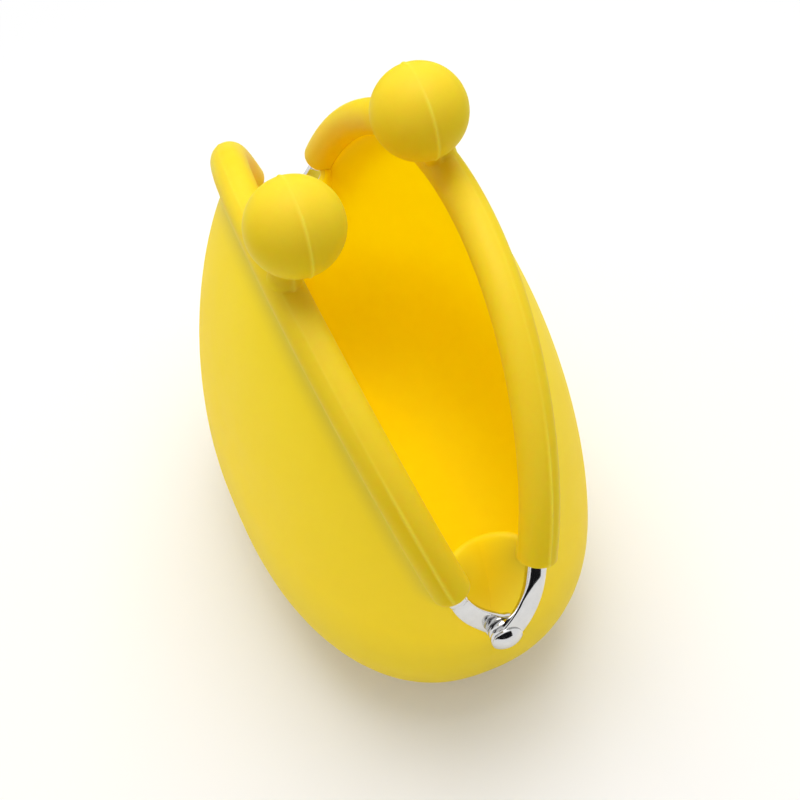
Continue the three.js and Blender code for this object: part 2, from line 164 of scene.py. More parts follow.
def seam(t):
    """Where the front wall meets its sleeve: under it and a little to its outer side."""
    point = arch_point(t) + arch_inward(t) * (SEAM_REACH * math.cos(SEAM_ANGLE))
    point.y -= SEAM_REACH * math.sin(SEAM_ANGLE)
    return STAND_OPEN @ point


def mouth_edge(across):
    """The wall's edge, the pull that it leaves with and its turn round the belly, for a place from
    -1 in the middle of the left gusset, along the front rim, to 1 in the middle of the right one."""
    end = math.copysign(1, across)
    past = abs(across) - PANEL_SHARE
    if past < 0:
        share = (across / PANEL_SHARE + 1) / 2
        turn = math.pi + GUSSET_SPREAD + share * (math.pi - 2 * GUSSET_SPREAD)
        pull = Vector((0, RIM_PULL_OUT * math.sin(turn), -RIM_PULL_DOWN))
        return seam(SQUARE_END + share * (ROUND_END - SQUARE_END)), STAND_OPEN.to_3x3() @ pull, turn
    share = past / (1 - PANEL_SHARE) / 2
    fold = 4 * share * (1 - share)
    corner, opposite = (ROUND_END, SQUARE_END) if end > 0 else (SQUARE_END, ROUND_END)
    point = seam(corner).lerp(TURN_ROUND @ seam(opposite), share)
    point += Vector((-end * GUSSET_DEPTH, 0, GUSSET_LIFT)) * fold
    turn = math.pi * (3 + end) / 2 + end * GUSSET_SPREAD * (2 * share - 1)
    return point, Vector((end * GUSSET_PULL_OUT * fold, 0, -RIM_PULL_DOWN)), turn


def outer_column(across):
    """Points of the outside, from the middle line of the base out to the belly and up to the edge."""
    edge, pull, turn = mouth_edge(across)
    base = oval(turn, BASE_HALF_LENGTH, BASE_HALF_DEPTH, BASE_POWER)
    belly = oval(turn, BELLY_HALF_LENGTH, BELLY_HALF_DEPTH, BELLY_POWER)
    middle = Vector((base.x * BASE_MIDDLE, 0, 0))
    rise = Vector((0, 0, BELLY_HEIGHT))
    widest = belly + rise
    bowl_start = base + (belly - base) * BOWL_FULLNESS
    bowl_end = belly + rise * (1 - BOWL_FULLNESS)
    upright = widest + Vector((0, 0, (edge.z - BELLY_HEIGHT) * WALL_UPRIGHT))
    bowl = (base, bowl_start, bowl_end, widest)
    wall = (widest, upright, edge + pull, edge)
    points = [middle.lerp(base, row / BASE_ROWS) for row in range(BASE_ROWS)]
    points += [bezier(*bowl, row / BOWL_ROWS) for row in range(BOWL_ROWS)]
    points += [bezier(*wall, row / WALL_ROWS) for row in range(WALL_ROWS + 1)]
    return points


def pouch_shell():
    """The points of the front half shell: one column after another from the left gusset to the
    right one, each from the outside of the base up, over the lip and down the inside. With them
    goes how thin the moulding is there: 0 at the sleeve and the base, 1 on the open wall and more
    in the gusset. The same share sets how much light passes the wall and, below 1, how dark the
    shade painted on the outside is."""
    inner = np.linspace(-1 + POUCH_BORDER, 1 - POUCH_BORDER, POUCH_COLUMNS - 1)
    spots = np.concatenate([[-1], inner, [1]])
    outside = np.array([[tuple(point) for point in outer_column(across)] for across in spots])
    rear = outside * (-1, -1, 1)
    along = np.gradient(np.concatenate([rear[-2:-1], outside, rear[1:2]]), axis=0)[1:-1]
    normal = np.cross(along, np.gradient(outside, axis=1))
    normal[:, 0] = (0, 0, -1)
    normal /= np.linalg.norm(normal, axis=2, keepdims=True)

    steps = np.linspace(ROUND_END, SQUARE_END, WIRE_SAMPLES)
    wire = np.array([tuple(STAND_OPEN @ arch_point(t)) for t in steps])
    gap = np.linalg.norm(outside[:, :, None] - wire, axis=3).min(axis=2) - SLEEVE_RADIUS
    near = np.clip(1 - np.maximum(gap, 0) / SEAM_FILLET, 0, 1)[:, :, None] ** 2
    inside = outside - normal * POUCH_WALL * (1 - SEAM_THINNING * near)
    outside = outside + normal * near * SEAM_FILLET / 2

    top_out, top_in = outside[:, -1], inside[:, -1]
    middle, spread = (top_out + top_in) / 2, (top_out - top_in) / 2
    rise = outside[:, -1] - outside[:, -2]
    rise /= np.linalg.norm(rise, axis=1, keepdims=True)
    round_by = np.linalg.norm(spread, axis=1, keepdims=True)
    bends = [math.pi * row / LIP_ROWS for row in range(1, LIP_ROWS)]
    lip = [middle + spread * math.cos(bend) + rise * round_by * math.sin(bend) for bend in bends]
    shell = np.concatenate([outside, np.stack(lip, axis=1), inside[:, ::-1]], axis=1)

    fold = np.clip((np.abs(spots) - PANEL_SHARE) / (1 - PANEL_SHARE), 0, 1)[:, None]
    rows = np.arange(outside.shape[1]) - BASE_ROWS
    folded = FOLD_THINNING * fold * np.clip((rows - BOWL_ROWS) / WALL_ROWS, 0, 1)
    open_wall = np.maximum(np.clip(gap / THICK_REACH, 0, 1), fold)
    thin_out, thin_in = (open_wall * np.clip(rows / reach, 0, 1) + folded for reach in THICK_BASE_ROWS)
    thin_lip = np.repeat(thin_out[:, -1:], len(lip), axis=1)
    thin = np.concatenate([thin_out, thin_lip, thin_in[:, ::-1]], axis=1)
    return shell - (0, HALF_SLIT, 0), thin


def new_piece(name, bm, material, place=None):
    """Finishes a mesh as an object at the origin with smooth shading."""
    if place is not None:
        bmesh.ops.transform(bm, matrix=place, verts=bm.verts)
    for face in bm.faces:
        face.smooth = True
    mesh = bpy.data.meshes.new(name)
    bm.to_mesh(mesh)
    bm.free()
    mesh.materials.append(material)
    piece = bpy.data.objects.new(name, mesh)
    bpy.context.scene.collection.objects.link(piece)
    return piece


def mapped_grid(columns, rows, place, note=None):
    """A sheet of columns by rows squares, whose corners place(column, row) puts into space. With a
    note, place also gives each corner's share, which the finish reads under the name of the note."""
    bm = bmesh.new()
    bmesh.ops.create_grid(bm, x_segments=columns, y_segments=rows, size=1)
    share = bm.verts.layers.float.new(note) if note else None
    for corner in bm.verts:
        column = round((corner.co.x + 1) / 2 * columns)
        row = round((corner.co.y + 1) / 2 * rows)
        if note:
            corner.co, corner[share] = place(column, row)
        else:
            corner.co = place(column, row)
    return bm


def close_up(bm):
    """Merges what meets, fills the open ends with flat faces and turns all faces outward."""
    bmesh.ops.remove_doubles(bm, verts=bm.verts, dist=MERGE_REACH)
    rims = [edge for edge in bm.edges if edge.is_boundary]
    for edge in rims:
        edge.smooth = False
    bmesh.ops.holes_fill(bm, edges=rims, sides=0)
    bmesh.ops.recalc_face_normals(bm, faces=bm.faces)


class Flow:
    """A socket of a material's nodes, so that a finish can be written as arithmetic."""

    def __init__(self, socket):
        self.socket = socket

    def node(self, kind, settings=None, inputs=None, output=0):
        """Adds a node of this kind to the same material and gives one of its outputs."""
        tree = self.socket.id_data
        made = tree.nodes.new(kind)
        for name, value in (settings or {}).items():
            setattr(made, name, value)
        for name, value in (inputs or {}).items():
            if isinstance(value, Flow):
                tree.links.new(value.socket, made.inputs[name])
            else:
                made.inputs[name].default_value = value
        return Flow(made.outputs[output])

    def math(self, operation, first, second):
        return self.node("ShaderNodeMath", {"operation": operation}, {0: first, 1: second})

    def __add__(self, other):
        return self.math("ADD", self, other)

    def __radd__(self, other):
        return self.math("ADD", other, self)

    def __mul__(self, other):
        return self.math("MULTIPLY", self, other)

    def __rmul__(self, other):
        return self.math("MULTIPLY", other, self)

    def mix(self, low, high):
        """A colour between low and high, with this as the share of high."""
        return self.node("ShaderNodeMix", {"data_type": "RGBA"}, {0: self, 6: low, 7: high}, 2)

    def feed(self, shader, name):
        self.socket.id_data.links.new(self.socket, shader.inputs[name])


def new_finish(name):
    """A material, its main shader and the place on the piece that its patterns read."""
    material = bpy.data.materials.new(name)
    material.use_nodes = True
    tree = material.node_tree
    shader = tree.nodes["Principled BSDF"]
    place = Flow(tree.nodes.new("ShaderNodeTexCoord").outputs["Object"])
    return material, shader, place


WALL_TONES = ((0.96, 0.82, 0.014), (0.98, 0.88, 0.024))  # deep and pale
INNER_TONES = ((0.98, 0.79, 0.002), (0.99, 0.91, 0.003))
# a paler tone painted along the parting line as its highlight
PARTING_HIGHLIGHT_TONE = (0.98, 0.92, 0.16)
GLOW_TONE = (1, 0.93, 0)  # of light that has passed the wall
PAINTED_SHADE_TONE = (0.70, 0.56, 0.02)  # painted shade in the valley beside the sleeve and towards the base, where the wall isn't thin
CLOUDS = {"Scale": 70, "Detail": 3, "Roughness": 0.6}  # the scales are in cells a metre
STREAK_STRETCH = (420, 420, 28)
STREAKS = {"Scale": 1, "Detail": 4, "Roughness": 0.6}
SMUDGES = {"Scale": 180, "Detail": 5, "Roughness": 0.65}
GRAIN = {"Scale": 5200, "Detail": 2}
CLOUD_SHARE, STREAK_SHARE = 0.6, 0.4  # in the pigment
PARTING_HIGHLIGHT_SHARE = 0.3  # share of the painted highlight's tone on the parting line
SATIN, SMUDGED = 0.42, 0.2  # roughness, and what smudges add to it
GRAIN_RELIEF, SMUDGE_RELIEF, CLOUD_RELIEF = 0.45, 0.2, 0.35
RELIEF_HEIGHT, RELIEF_STRENGTH = 0.06 * MM, 0.25
SILICONE_IOR = 1.42
WANDERING = (1, 0.6, 0.08)  # how far red, green and blue light wander, as shares


def silicone_finish(name, tones, gloss, scatter=0, glow=0, shade_tone=None):
    """Yellow silicone: cloudy pigment between two tones, faint streaks from the mould's polishing,
    smudges in the satin gloss, a fine grain and a paler tone painted along the parting lines as
    their highlight. A wall is painted darker in the shade tone where it isn't thin: painted shade in
    the valley beside the sleeve and towards the base. In a thick piece light wanders by the scatter
    length, and in a thin wall the glow is the share of it that passes through."""
    material, shader, place = new_finish(name)
    deep, pale = ((*tone, 1) for tone in tones)
    noise, carried = "ShaderNodeTexNoise", "ShaderNodeAttribute"
    drawn = place.node("ShaderNodeMapping", inputs={"Vector": place, "Scale": STREAK_STRETCH})
    cloud = place.node(noise, inputs={"Vector": place, **CLOUDS})
    streak = place.node(noise, inputs={"Vector": drawn, **STREAKS})
    smudge = place.node(noise, inputs={"Vector": place, **SMUDGES})
    grain = place.node(noise, inputs={"Vector": place, **GRAIN})
    parting_highlight = place.node(carried, {"attribute_name": "parting_line_highlight"}, output="Fac")
    thin_wall_and_shade = place.node(carried, {"attribute_name": "thin_wall_and_shade"}, output="Fac")
    pigment = (cloud * CLOUD_SHARE + streak * STREAK_SHARE).mix(deep, pale)
    # painted shade: a darker tone where the wall isn't thin, beside the sleeve and towards the base
    if shade_tone:
        pigment = thin_wall_and_shade.mix((*shade_tone, 1), pigment)
    # painted highlight: the parting line is painted paler
    (parting_highlight * PARTING_HIGHLIGHT_SHARE).mix(pigment, (*PARTING_HIGHLIGHT_TONE, 1)).feed(shader, "Base Color")
    (SATIN + smudge * SMUDGED).feed(shader, "Roughness")
    relief = grain * GRAIN_RELIEF + smudge * SMUDGE_RELIEF + cloud * CLOUD_RELIEF
    dents = {"Strength": RELIEF_STRENGTH, "Distance": RELIEF_HEIGHT, "Height": relief}
    place.node("ShaderNodeBump", inputs=dents).feed(shader, "Normal")
    shader.inputs["IOR"].default_value = SILICONE_IOR
    shader.inputs["Specular IOR Level"].default_value = gloss
    if scatter:
        shader.inputs["Subsurface Weight"].default_value = 1
        shader.inputs["Subsurface Radius"].default_value = WANDERING
        shader.inputs["Subsurface Scale"].default_value = scatter
    if glow:
        through = place.node("ShaderNodeBsdfTranslucent", inputs={"Color": (*GLOW_TONE, 1)})
        solid = Flow(shader.outputs["BSDF"])
        wall_light = place.node("ShaderNodeMixShader", inputs={0: thin_wall_and_shade * glow, 1: solid, 2: through})
        wall_light.feed(material.node_tree.nodes["Material Output"], "Surface")
    return material


wall_silicone = silicone_finish("wall_silicone", WALL_TONES, gloss=0.4, glow=0.36, shade_tone=PAINTED_SHADE_TONE)
inner_silicone = silicone_finish("inner_silicone", INNER_TONES, gloss=0.05, glow=0.54)
shell, thin = pouch_shell()
shell_columns, shell_rows = shell.shape[0] - 1, shell.shape[1] - 1


def shell_point(column, row):
    return shell[column, row], thin[column, row]


for side, way in HALVES:
    wall = mapped_grid(shell_columns, shell_rows, shell_point, "thin_wall_and_shade")
    for square in wall.faces:
        square.material_index = int(square.index // shell_columns >= LIP_MIDDLE)
    close_up(wall)
    pouch_half = new_piece(f"pouch_{side}", wall, wall_silicone, way)
    pouch_half.data.materials.append(inner_silicone)
    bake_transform(pouch_half, "pouch", f"{side}_half", start=way @ LEAN_START, end=way @ (LEAN_START + LEAN_WAY))
    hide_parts("pouch")

# Rim sleeves and ball covers
# A silicone tube over each wire and the skin of its clasp ball, moulded as one with a short neck.
# The two mould halves leave a thin raised line along the tube, up the neck and over the ball.
# the same silicone as the pouch, painted darker and more orange as shade
SHADED_RIM_TONES = ((0.81, 0.605, 0.012), (0.85, 0.65, 0.02))
BALL_RADIUS = 7.0 * MM
BALL_SIDE = 6.6 * MM  # from the middle, along the rim
BALL_LEAN = 5.6 * MM  # from above the wire towards the other half
BALL_LIFT = 10.2 * MM  # of its centre over the wire
NECK_RADIUS = 2.15 * MM
NECK_FILLET = 1.3 * MM
NECK_START = 0.15  # share of the stalk's line that lies inside the wire
WIRE_RADIUS = 1.5 * MM
BORE_RADIUS = 1.55 * MM
ROUND_END_RIM = 1.1 * MM
SQUARE_END_RIM = 0.25 * MM
SLEEVE_COLUMNS = 96
SLEEVE_STEPS = 200
END_STEPS = 8
BALL_COLUMNS, BALL_ROWS = 96, 72
NECK_COLUMNS, NECK_ROWS = 64, 24
LINE_HEIGHT = 0.16 * MM
LINE_WIDTH = 0.24 * MM
LINE_FADING = (0.55, 0.8)  # heights, as shares of the arch, between which the tube's line fades
BALL_LINE_FADING = (0.7, 0.95)  # the same on the ball, as shares of its radius
FAINT_LINE = 0.2  # what is left of a line where it has faded
TAB_HEIGHT = 0.5 * MM  # flash left standing where the line on the ball meets the neck
TAB_REACH = 1 * MM
LINE_LEAN = math.radians(8)  # of the tube's line to the outer side
LINE_CROWDING = 0.9  # how much closer the mesh is at a line
BALL_LINE_LEAN = math.radians(17)  # turns the ball's line back from the lean of its half
foot = arch_point(math.acos(BALL_SIDE / ARCH_HALF_WIDTH))
ball = Vector((BALL_SIDE, BALL_LEAN - RIM_OFFSET, foot.z + BALL_LIFT))
stalk = ball - foot
stalk_turn = stalk.to_track_quat("Z", "X").to_matrix()
ball_turn = Matrix.Rotation(-BALL_LINE_LEAN, 3, "X")
neck_top = ball - stalk.normalized() * BALL_RADIUS


def smoothstep(low, high, value):
    share = min(max((value - low) / (high - low), 0), 1)
    return share * share * (3 - 2 * share)


def ridge(distance):
    """How far the parting line stands up at a distance from its middle, from 0 to 1."""
    return math.exp(-((distance / LINE_WIDTH) ** 2))


def crowded(share):
    """Shares of a turn that lie closer together near 0 and 1, where the parting line is."""
    return share - LINE_CROWDING * math.sin(2 * math.pi * share) / (2 * math.pi)


def sleeve_stations():
    """Places along the arch and radii of the skin there, from inside one end to inside the other."""
    pace = math.hypot(ARCH_HALF_WIDTH * math.sin(ROUND_END), ARCH_RISE * math.cos(ROUND_END))

    def end(t, inward, rim):
        line = [(t + inward * SLEEVE_RADIUS / pace, BORE_RADIUS), (t, BORE_RADIUS)]
        for step in range(END_STEPS + 1):
            turn = math.pi / 2 * step / END_STEPS
            place = t + inward * rim / pace * (1 - math.cos(turn))
            line.append((place, SLEEVE_RADIUS - rim * (1 - math.sin(turn))))
        return line

    first = end(SQUARE_END, -1, SQUARE_END_RIM)
    last = end(ROUND_END, 1, ROUND_END_RIM)[::-1]
    start, stop = first[-1][0], last[0][0]
    places = [start + (stop - start) * step / SLEEVE_STEPS for step in range(1, SLEEVE_STEPS)]
    return first + [(place, SLEEVE_RADIUS) for place in places] + last


stations = sleeve_stations()


def sleeve_point(column, row):
    """A point of the sleeve and the share of the parting line in it."""
    t, radius = stations[row]
    angle = 2 * math.pi * crowded(column / SLEEVE_COLUMNS)
    away = (angle + math.pi) % (2 * math.pi) - math.pi
    worn = 1 - (1 - FAINT_LINE) * smoothstep(*LINE_FADING, math.sin(t))
    line = worn * ridge(away * SLEEVE_RADIUS) if radius == SLEEVE_RADIUS else 0
    top, side = -arch_inward(t), Vector((0, -1, 0))
    lean = angle + LINE_LEAN
    outward = top * math.cos(lean) + side * math.sin(lean)
    return arch_point(t) + outward * (radius + line * LINE_HEIGHT), line


def ball_point(column, row):
    """The same on the ball, whose rows crowd at the parting line in the middle."""
    angle = 2 * math.pi * column / BALL_COLUMNS
    share = row / BALL_ROWS
    rise = math.pi * (share + LINE_CROWDING * math.sin(2 * math.pi * share) / (2 * math.pi) - 0.5)
    ring = math.cos(rise)
    outward = ball_turn @ Vector((math.cos(angle) * ring, math.sin(rise), math.sin(angle) * ring))
    worn = 1 - (1 - FAINT_LINE) * smoothstep(*BALL_LINE_FADING, outward.z)
    line = worn * ridge(rise * BALL_RADIUS)
    from_neck = (ball + outward * BALL_RADIUS - neck_top).length - NECK_RADIUS - NECK_FILLET / 2
    tab = TAB_HEIGHT * ridge(rise * BALL_RADIUS) * math.exp(-((from_neck / TAB_REACH) ** 2))
    return ball + outward * (BALL_RADIUS + line * LINE_HEIGHT + tab), line


def neck_point(column, row):
    """The same on the neck, which widens to the ball and to its own rim."""
    angle = 2 * math.pi * column / NECK_COLUMNS
    along = NECK_START + (1 - NECK_START) * row / NECK_ROWS
    outward = stalk_turn @ Vector((math.cos(angle), math.sin(angle), 0))
    skin = foot + stalk * along + outward * NECK_RADIUS
    rim_gap = math.hypot(skin.y - foot.y, skin.z - foot.z) - SLEEVE_RADIUS
    ball_gap = (skin - ball).length - BALL_RADIUS
    at_rim, at_ball = (max(1 - max(gap, 0) / NECK_FILLET, 0) ** 2 for gap in (rim_gap, ball_gap))
    widen = at_rim * (1 - max(outward.y, 0)) + at_ball  # none towards the other half's rim
    line = ridge(skin.y - (foot + stalk * along).y)
    return skin + outward * (widen * NECK_FILLET / 2 + line * LINE_HEIGHT), line


def lined_grid(columns, rows, place):
    """A closed form whose corners carry their share of the parting line, which the finish paints paler as the
    line's highlight.
    """
    bm = mapped_grid(columns, rows, place, "parting_line_highlight")
    close_up(bm)
    return bm


def combined(first, second, operation):
    """Joins the second mesh to the first or cuts it out of it."""
    solids = []
    for bm in (first, second):
        mesh = bpy.data.meshes.new("solid")
        bm.to_mesh(mesh)
        bm.free()
        solids.append(bpy.data.objects.new("solid", mesh))
        bpy.context.scene.collection.objects.link(solids[-1])
    tool = solids[0].modifiers.new("tool", "BOOLEAN")
    tool.object = solids[1]
    tool.operation = operation
    tool.solver = "EXACT"
    result = bmesh.new()
    result.from_object(solids[0], bpy.context.evaluated_depsgraph_get())
    for solid in solids:
        mesh = solid.data
        bpy.data.objects.remove(solid)
        bpy.data.meshes.remove(mesh)
    return result


def skin_mesh():
    """Sleeve, neck and ball cover as one mesh. Joining them mixes up the shares of the parting line,
    so each corner takes its share again from the nearest corner of the three."""
    rim = lined_grid(SLEEVE_COLUMNS, len(stations) - 1, sleeve_point)
    neck = lined_grid(NECK_COLUMNS, NECK_ROWS, neck_point)
    cover = lined_grid(BALL_COLUMNS, BALL_ROWS, ball_point)
    lines = KDTree(len(rim.verts) + len(neck.verts) + len(cover.verts))
    shares = []
    for bm in (rim, neck, cover):
        layer = bm.verts.layers.float["parting_line_highlight"]
        for corner in bm.verts:
            lines.insert(corner.co, len(shares))
            shares.append(corner[layer])
    lines.balance()
    joined = combined(combined(rim, neck, "UNION"), cover, "UNION")
    layer = joined.verts.layers.float["parting_line_highlight"]
    for corner in joined.verts:
        nearest = lines.find(corner.co)[1]
        corner[layer] = shares[nearest]
    return joined


rim_silicone = silicone_finish("rim_silicone", SHADED_RIM_TONES, gloss=0.22, scatter=1.6 * MM)
for side, way in HALVES:
    skin = new_piece(f"{side}_rim_skin", skin_mesh(), rim_silicone, way @ STAND_OPEN)
    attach(skin, f"{side}_half")
    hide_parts(f"{side}_rim_sleeve", f"{side}_ball_cover")

# Steel frames
# Nickel-plated steel wire bent to an arch. Its ends are hammered flat into straps that lean in to the
# hinge axis and end in a round eye, one outside and one inside the other frame's.
STRAP_IN, STRAP_OUT = 45.0 * MM, 47.0 * MM  # the straps' places along the hinge axis
STRAP_LEAN = math.radians(26)  # at the eye, to the outer side
STRAP_STRAIGHT = 7 * MM  # with the next, how far the bend tends straight on at its ends
WIRE_STRAIGHT = 3.6 * MM
STRAP_THICKNESS = 1.0 * MM
STRAP_HALF_WIDTHS = (2.1 * MM, 1.25 * MM)  # beside the eye and at the sleeve
STRAP_SQUARENESS = 0.35  # of the flat section: 1 is an oval, 0 a rectangle
EYE_RADIUS = 2.35 * MM
HOLE_RADIUS = 1.15 * MM
HOLE_SIDES = 48
DRILL_LENGTH = 3 * STRAP_THICKNESS
INNER_SHOULDER = (0.78, 0.88)  # where the inner strap turns to round wire, as shares of its bend
OUTER_SHOULDER = (0.35, 0.8)
EYE_STEPS, BEND_STEPS, WIRE_STEPS = 14, 60, 120
WIRE_COLUMNS = 40
STEEL_TONES = ((0.61, 0.61, 0.61, 1), (0.74, 0.74, 0.735, 1))
DRAWN_STRETCH = (900, 900, 90)
DRAWING_MARKS = {"Scale": 1, "Detail": 3}
DULL_PATCHES = {"Scale": 700, "Detail": 4}
POLISH, DULLNESS = 0.05, 0.12  # roughness, and what the patches add to it
MARK_HEIGHT, MARK_STRENGTH = 0.02 * MM, 0.15


def steel_finish():
    """Bright nickel plate with faint drawing marks and small dull patches."""
    material, shader, place = new_finish("plated_steel")
    noise = "ShaderNodeTexNoise"
    drawn = place.node("ShaderNodeMapping", inputs={"Vector": place, "Scale": DRAWN_STRETCH})
    mark = place.node(noise, inputs={"Vector": drawn, **DRAWING_MARKS})
    patch = place.node(noise, inputs={"Vector": place, **DULL_PATCHES})
    patch.mix(*STEEL_TONES).feed(shader, "Base Color")
    (POLISH + patch * DULLNESS).feed(shader, "Roughness")
    scratches = {"Strength": MARK_STRENGTH, "Distance": MARK_HEIGHT, "Height": mark}
    place.node("ShaderNodeBump", inputs=scratches).feed(shader, "Normal")
    shader.inputs["Metallic"].default_value = 1
    return material


def strap_stations(t, eye_x, shoulder):
    """Centres and section sizes from the tip of an eye up its strap to the sleeve's end at t."""
    top, eye = arch_point(t), Vector((eye_x, 0, 0))
    slope = arch_inward(t).cross(Vector((0, math.copysign(1, eye_x), 0)))
    lean = Vector((0, -math.sin(STRAP_LEAN), math.cos(STRAP_LEAN)))
    beside_eye, at_sleeve = STRAP_HALF_WIDTHS
    line = []
    for step in range(EYE_STEPS):
        angle = math.pi / 2 * step / EYE_STEPS
        line.append((eye - lean * (EYE_RADIUS * math.cos(angle)), EYE_RADIUS * math.sin(angle), 1))
    for step in range(BEND_STEPS):
        share = step / BEND_STEPS
        centre = bezier(eye, eye + lean * STRAP_STRAIGHT, top + slope * WIRE_STRAIGHT, top, share)
        flat = 1 - smoothstep(*shoulder, share)
        eye_width = math.sqrt(max(EYE_RADIUS**2 - (centre - eye).length ** 2, 0))
        strap_width = max(eye_width, beside_eye + (at_sleeve - beside_eye) * math.sqrt(share))
        line.append((centre, WIRE_RADIUS + (strap_width - WIRE_RADIUS) * flat, flat))
    return line


def frame_mesh():
    """The whole wire in one sweep from eye to eye, with the rivet holes drilled."""
    arch = [SQUARE_END + (ROUND_END - SQUARE_END) * step / WIRE_STEPS for step in range(WIRE_STEPS + 1)]
    line = strap_stations(SQUARE_END, -STRAP_OUT, OUTER_SHOULDER)
    line += [(arch_point(t), WIRE_RADIUS, 0) for t in arch]
    line += strap_stations(ROUND_END, STRAP_IN, INNER_SHOULDER)[::-1]

    def section_point(column, row):
        centre, wide, flat = line[row]
        before, after = line[max(row - 1, 0)][0], line[min(row + 1, len(line) - 1)][0]
        along = (after - before).normalized()
        out = Vector((0, 1, 0)).cross(along).normalized()
        across = along.cross(out)
        thick = WIRE_RADIUS + (STRAP_THICKNESS / 2 - WIRE_RADIUS) * flat
        power = 1 + (STRAP_SQUARENESS - 1) * flat
        angle = 2 * math.pi * column / WIRE_COLUMNS
        c, s = math.cos(angle), math.sin(angle)
        c, s = math.copysign(abs(c) ** power, c), math.copysign(abs(s) ** power, s)
        return centre + out * (thick * c) + across * (wide * s)

    bm = mapped_grid(WIRE_COLUMNS, len(line) - 1, section_point)
    close_up(bm)
    for x in (-STRAP_OUT, STRAP_IN):
        hole = bmesh.new()
        bore = Matrix.Translation((x, 0, 0)) @ Matrix.Rotation(math.pi / 2, 4, "Y")
        bmesh.ops.create_cone(
            hole, cap_ends=True, segments=HOLE_SIDES, radius1=HOLE_RADIUS, radius2=HOLE_RADIUS,
            depth=DRILL_LENGTH, matrix=bore,
        )
        bm = combined(bm, hole, "DIFFERENCE")
    return bm


plated_steel = steel_finish()
for side, way in HALVES:
    wire_frame = new_piece(f"{side}_wire_frame", frame_mesh(), plated_steel, way @ STAND_OPEN)
    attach(wire_frame, f"{side}_half")
    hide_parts(f"{side}_frame")

# Clasp studs
# A steel ball on a stalk, saddled on each wire and hidden under its silicone cover. The studs keep
# their own shape and only get the plating.
for side, _ in HALVES:
    for slot in frame["nodes"][f"{side}_clasp_stud"].material_slots:
        slot.material = plated_steel

# Rivets and washers
# Turned steel: a low domed rivet through both eyes of a hinge, spread on the inside, and a thin washer
# between the two straps. Both sit on the half whose strap is the outer one there.
RIVET_RADIUS = 1.1 * MM
RIVET_HEAD_RADIUS = 2.3 * MM
RIVET_HEAD_HEIGHT = 1.0 * MM
RIVET_HEAD_EDGE = 0.1 * MM
RIVET_TAIL_RADIUS = 1.7 * MM
RIVET_TAIL_HEIGHT = 0.6 * MM
RIVET_TAIL_POWER = 0.5  # below 1 the spread tail is fuller than a dome
WASHER_RADIUS = 2.2 * MM
WASHER_BEVEL = 1 / 6  # share of its thickness
SEATING = 0.02 * MM  # air between the straps and what sits on them
TURN_STEPS = 64
DOME_STEPS = 12


def turned(profile):
    """A closed turned piece about the X axis from (x, radius) points."""
    bm = bmesh.new()
    corners = [bm.verts.new((x, radius, 0)) for x, radius in profile]
    edges = [bm.edges.new(pair) for pair in zip(corners, corners[1:])]
    bmesh.ops.spin(
        bm, geom=corners + edges, cent=(0, 0, 0), axis=(1, 0, 0), angle=2 * math.pi,
        steps=TURN_STEPS, use_merge=True,
    )
    bmesh.ops.remove_doubles(bm, verts=bm.verts, dist=MERGE_REACH)
    bmesh.ops.recalc_face_normals(bm, faces=bm.faces)
    return bm


def rivet_mesh():
    """The left rivet: a domed head outside, a shank through both eyes and a spread tail inside."""
    head = STRAP_OUT + STRAP_THICKNESS / 2 + SEATING
    tail = STRAP_IN - STRAP_THICKNESS / 2 - SEATING
    spread = []
    for step in range(DOME_STEPS + 1):
        bend = math.pi / 2 * step / DOME_STEPS
        radius = RIVET_TAIL_RADIUS * math.sin(bend) ** RIVET_TAIL_POWER
        spread.append((tail - RIVET_TAIL_HEIGHT * math.cos(bend), radius))
    dome_height = RIVET_HEAD_HEIGHT - RIVET_HEAD_EDGE
    dome_radius = (RIVET_HEAD_RADIUS**2 + dome_height**2) / (2 * dome_height)
    half_angle = math.asin(RIVET_HEAD_RADIUS / dome_radius)
    crown = head + RIVET_HEAD_HEIGHT - dome_radius
    slopes = [half_angle * (1 - step / DOME_STEPS) for step in range(DOME_STEPS + 1)]
    dome = [(crown + dome_radius * math.cos(a), dome_radius * math.sin(a)) for a in slopes]
    shank = [(tail, RIVET_RADIUS), (head, RIVET_RADIUS), (head, RIVET_HEAD_RADIUS)]
    return turned([(-x, radius) for x, radius in spread + shank + dome])


def washer_mesh():
    """The left washer: a flat ring with its outer edges bevelled."""
    near = STRAP_IN + STRAP_THICKNESS / 2 + SEATING
    far = STRAP_OUT - STRAP_THICKNESS / 2 - SEATING
    edge = (far - near) * WASHER_BEVEL
    profile = [
        (near, HOLE_RADIUS), (near, WASHER_RADIUS - edge), (near + edge, WASHER_RADIUS),
        (far - edge, WASHER_RADIUS), (far, WASHER_RADIUS - edge), (far, HOLE_RADIUS), (near, HOLE_RADIUS),
    ]
    return turned([(-x, radius) for x, radius in profile])


for side, end, way in (("front", "left", Matrix.Identity(4)), ("rear", "right", TURN_ROUND)):
    for kind, bm in (("rivet", rivet_mesh()), ("washer", washer_mesh())):
        fixing = new_piece(f"{end}_hinge_{kind}", bm, plated_steel, way @ STAND_OPEN)
        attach(fixing, f"{side}_half")
        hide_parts(f"{end}_{kind}")

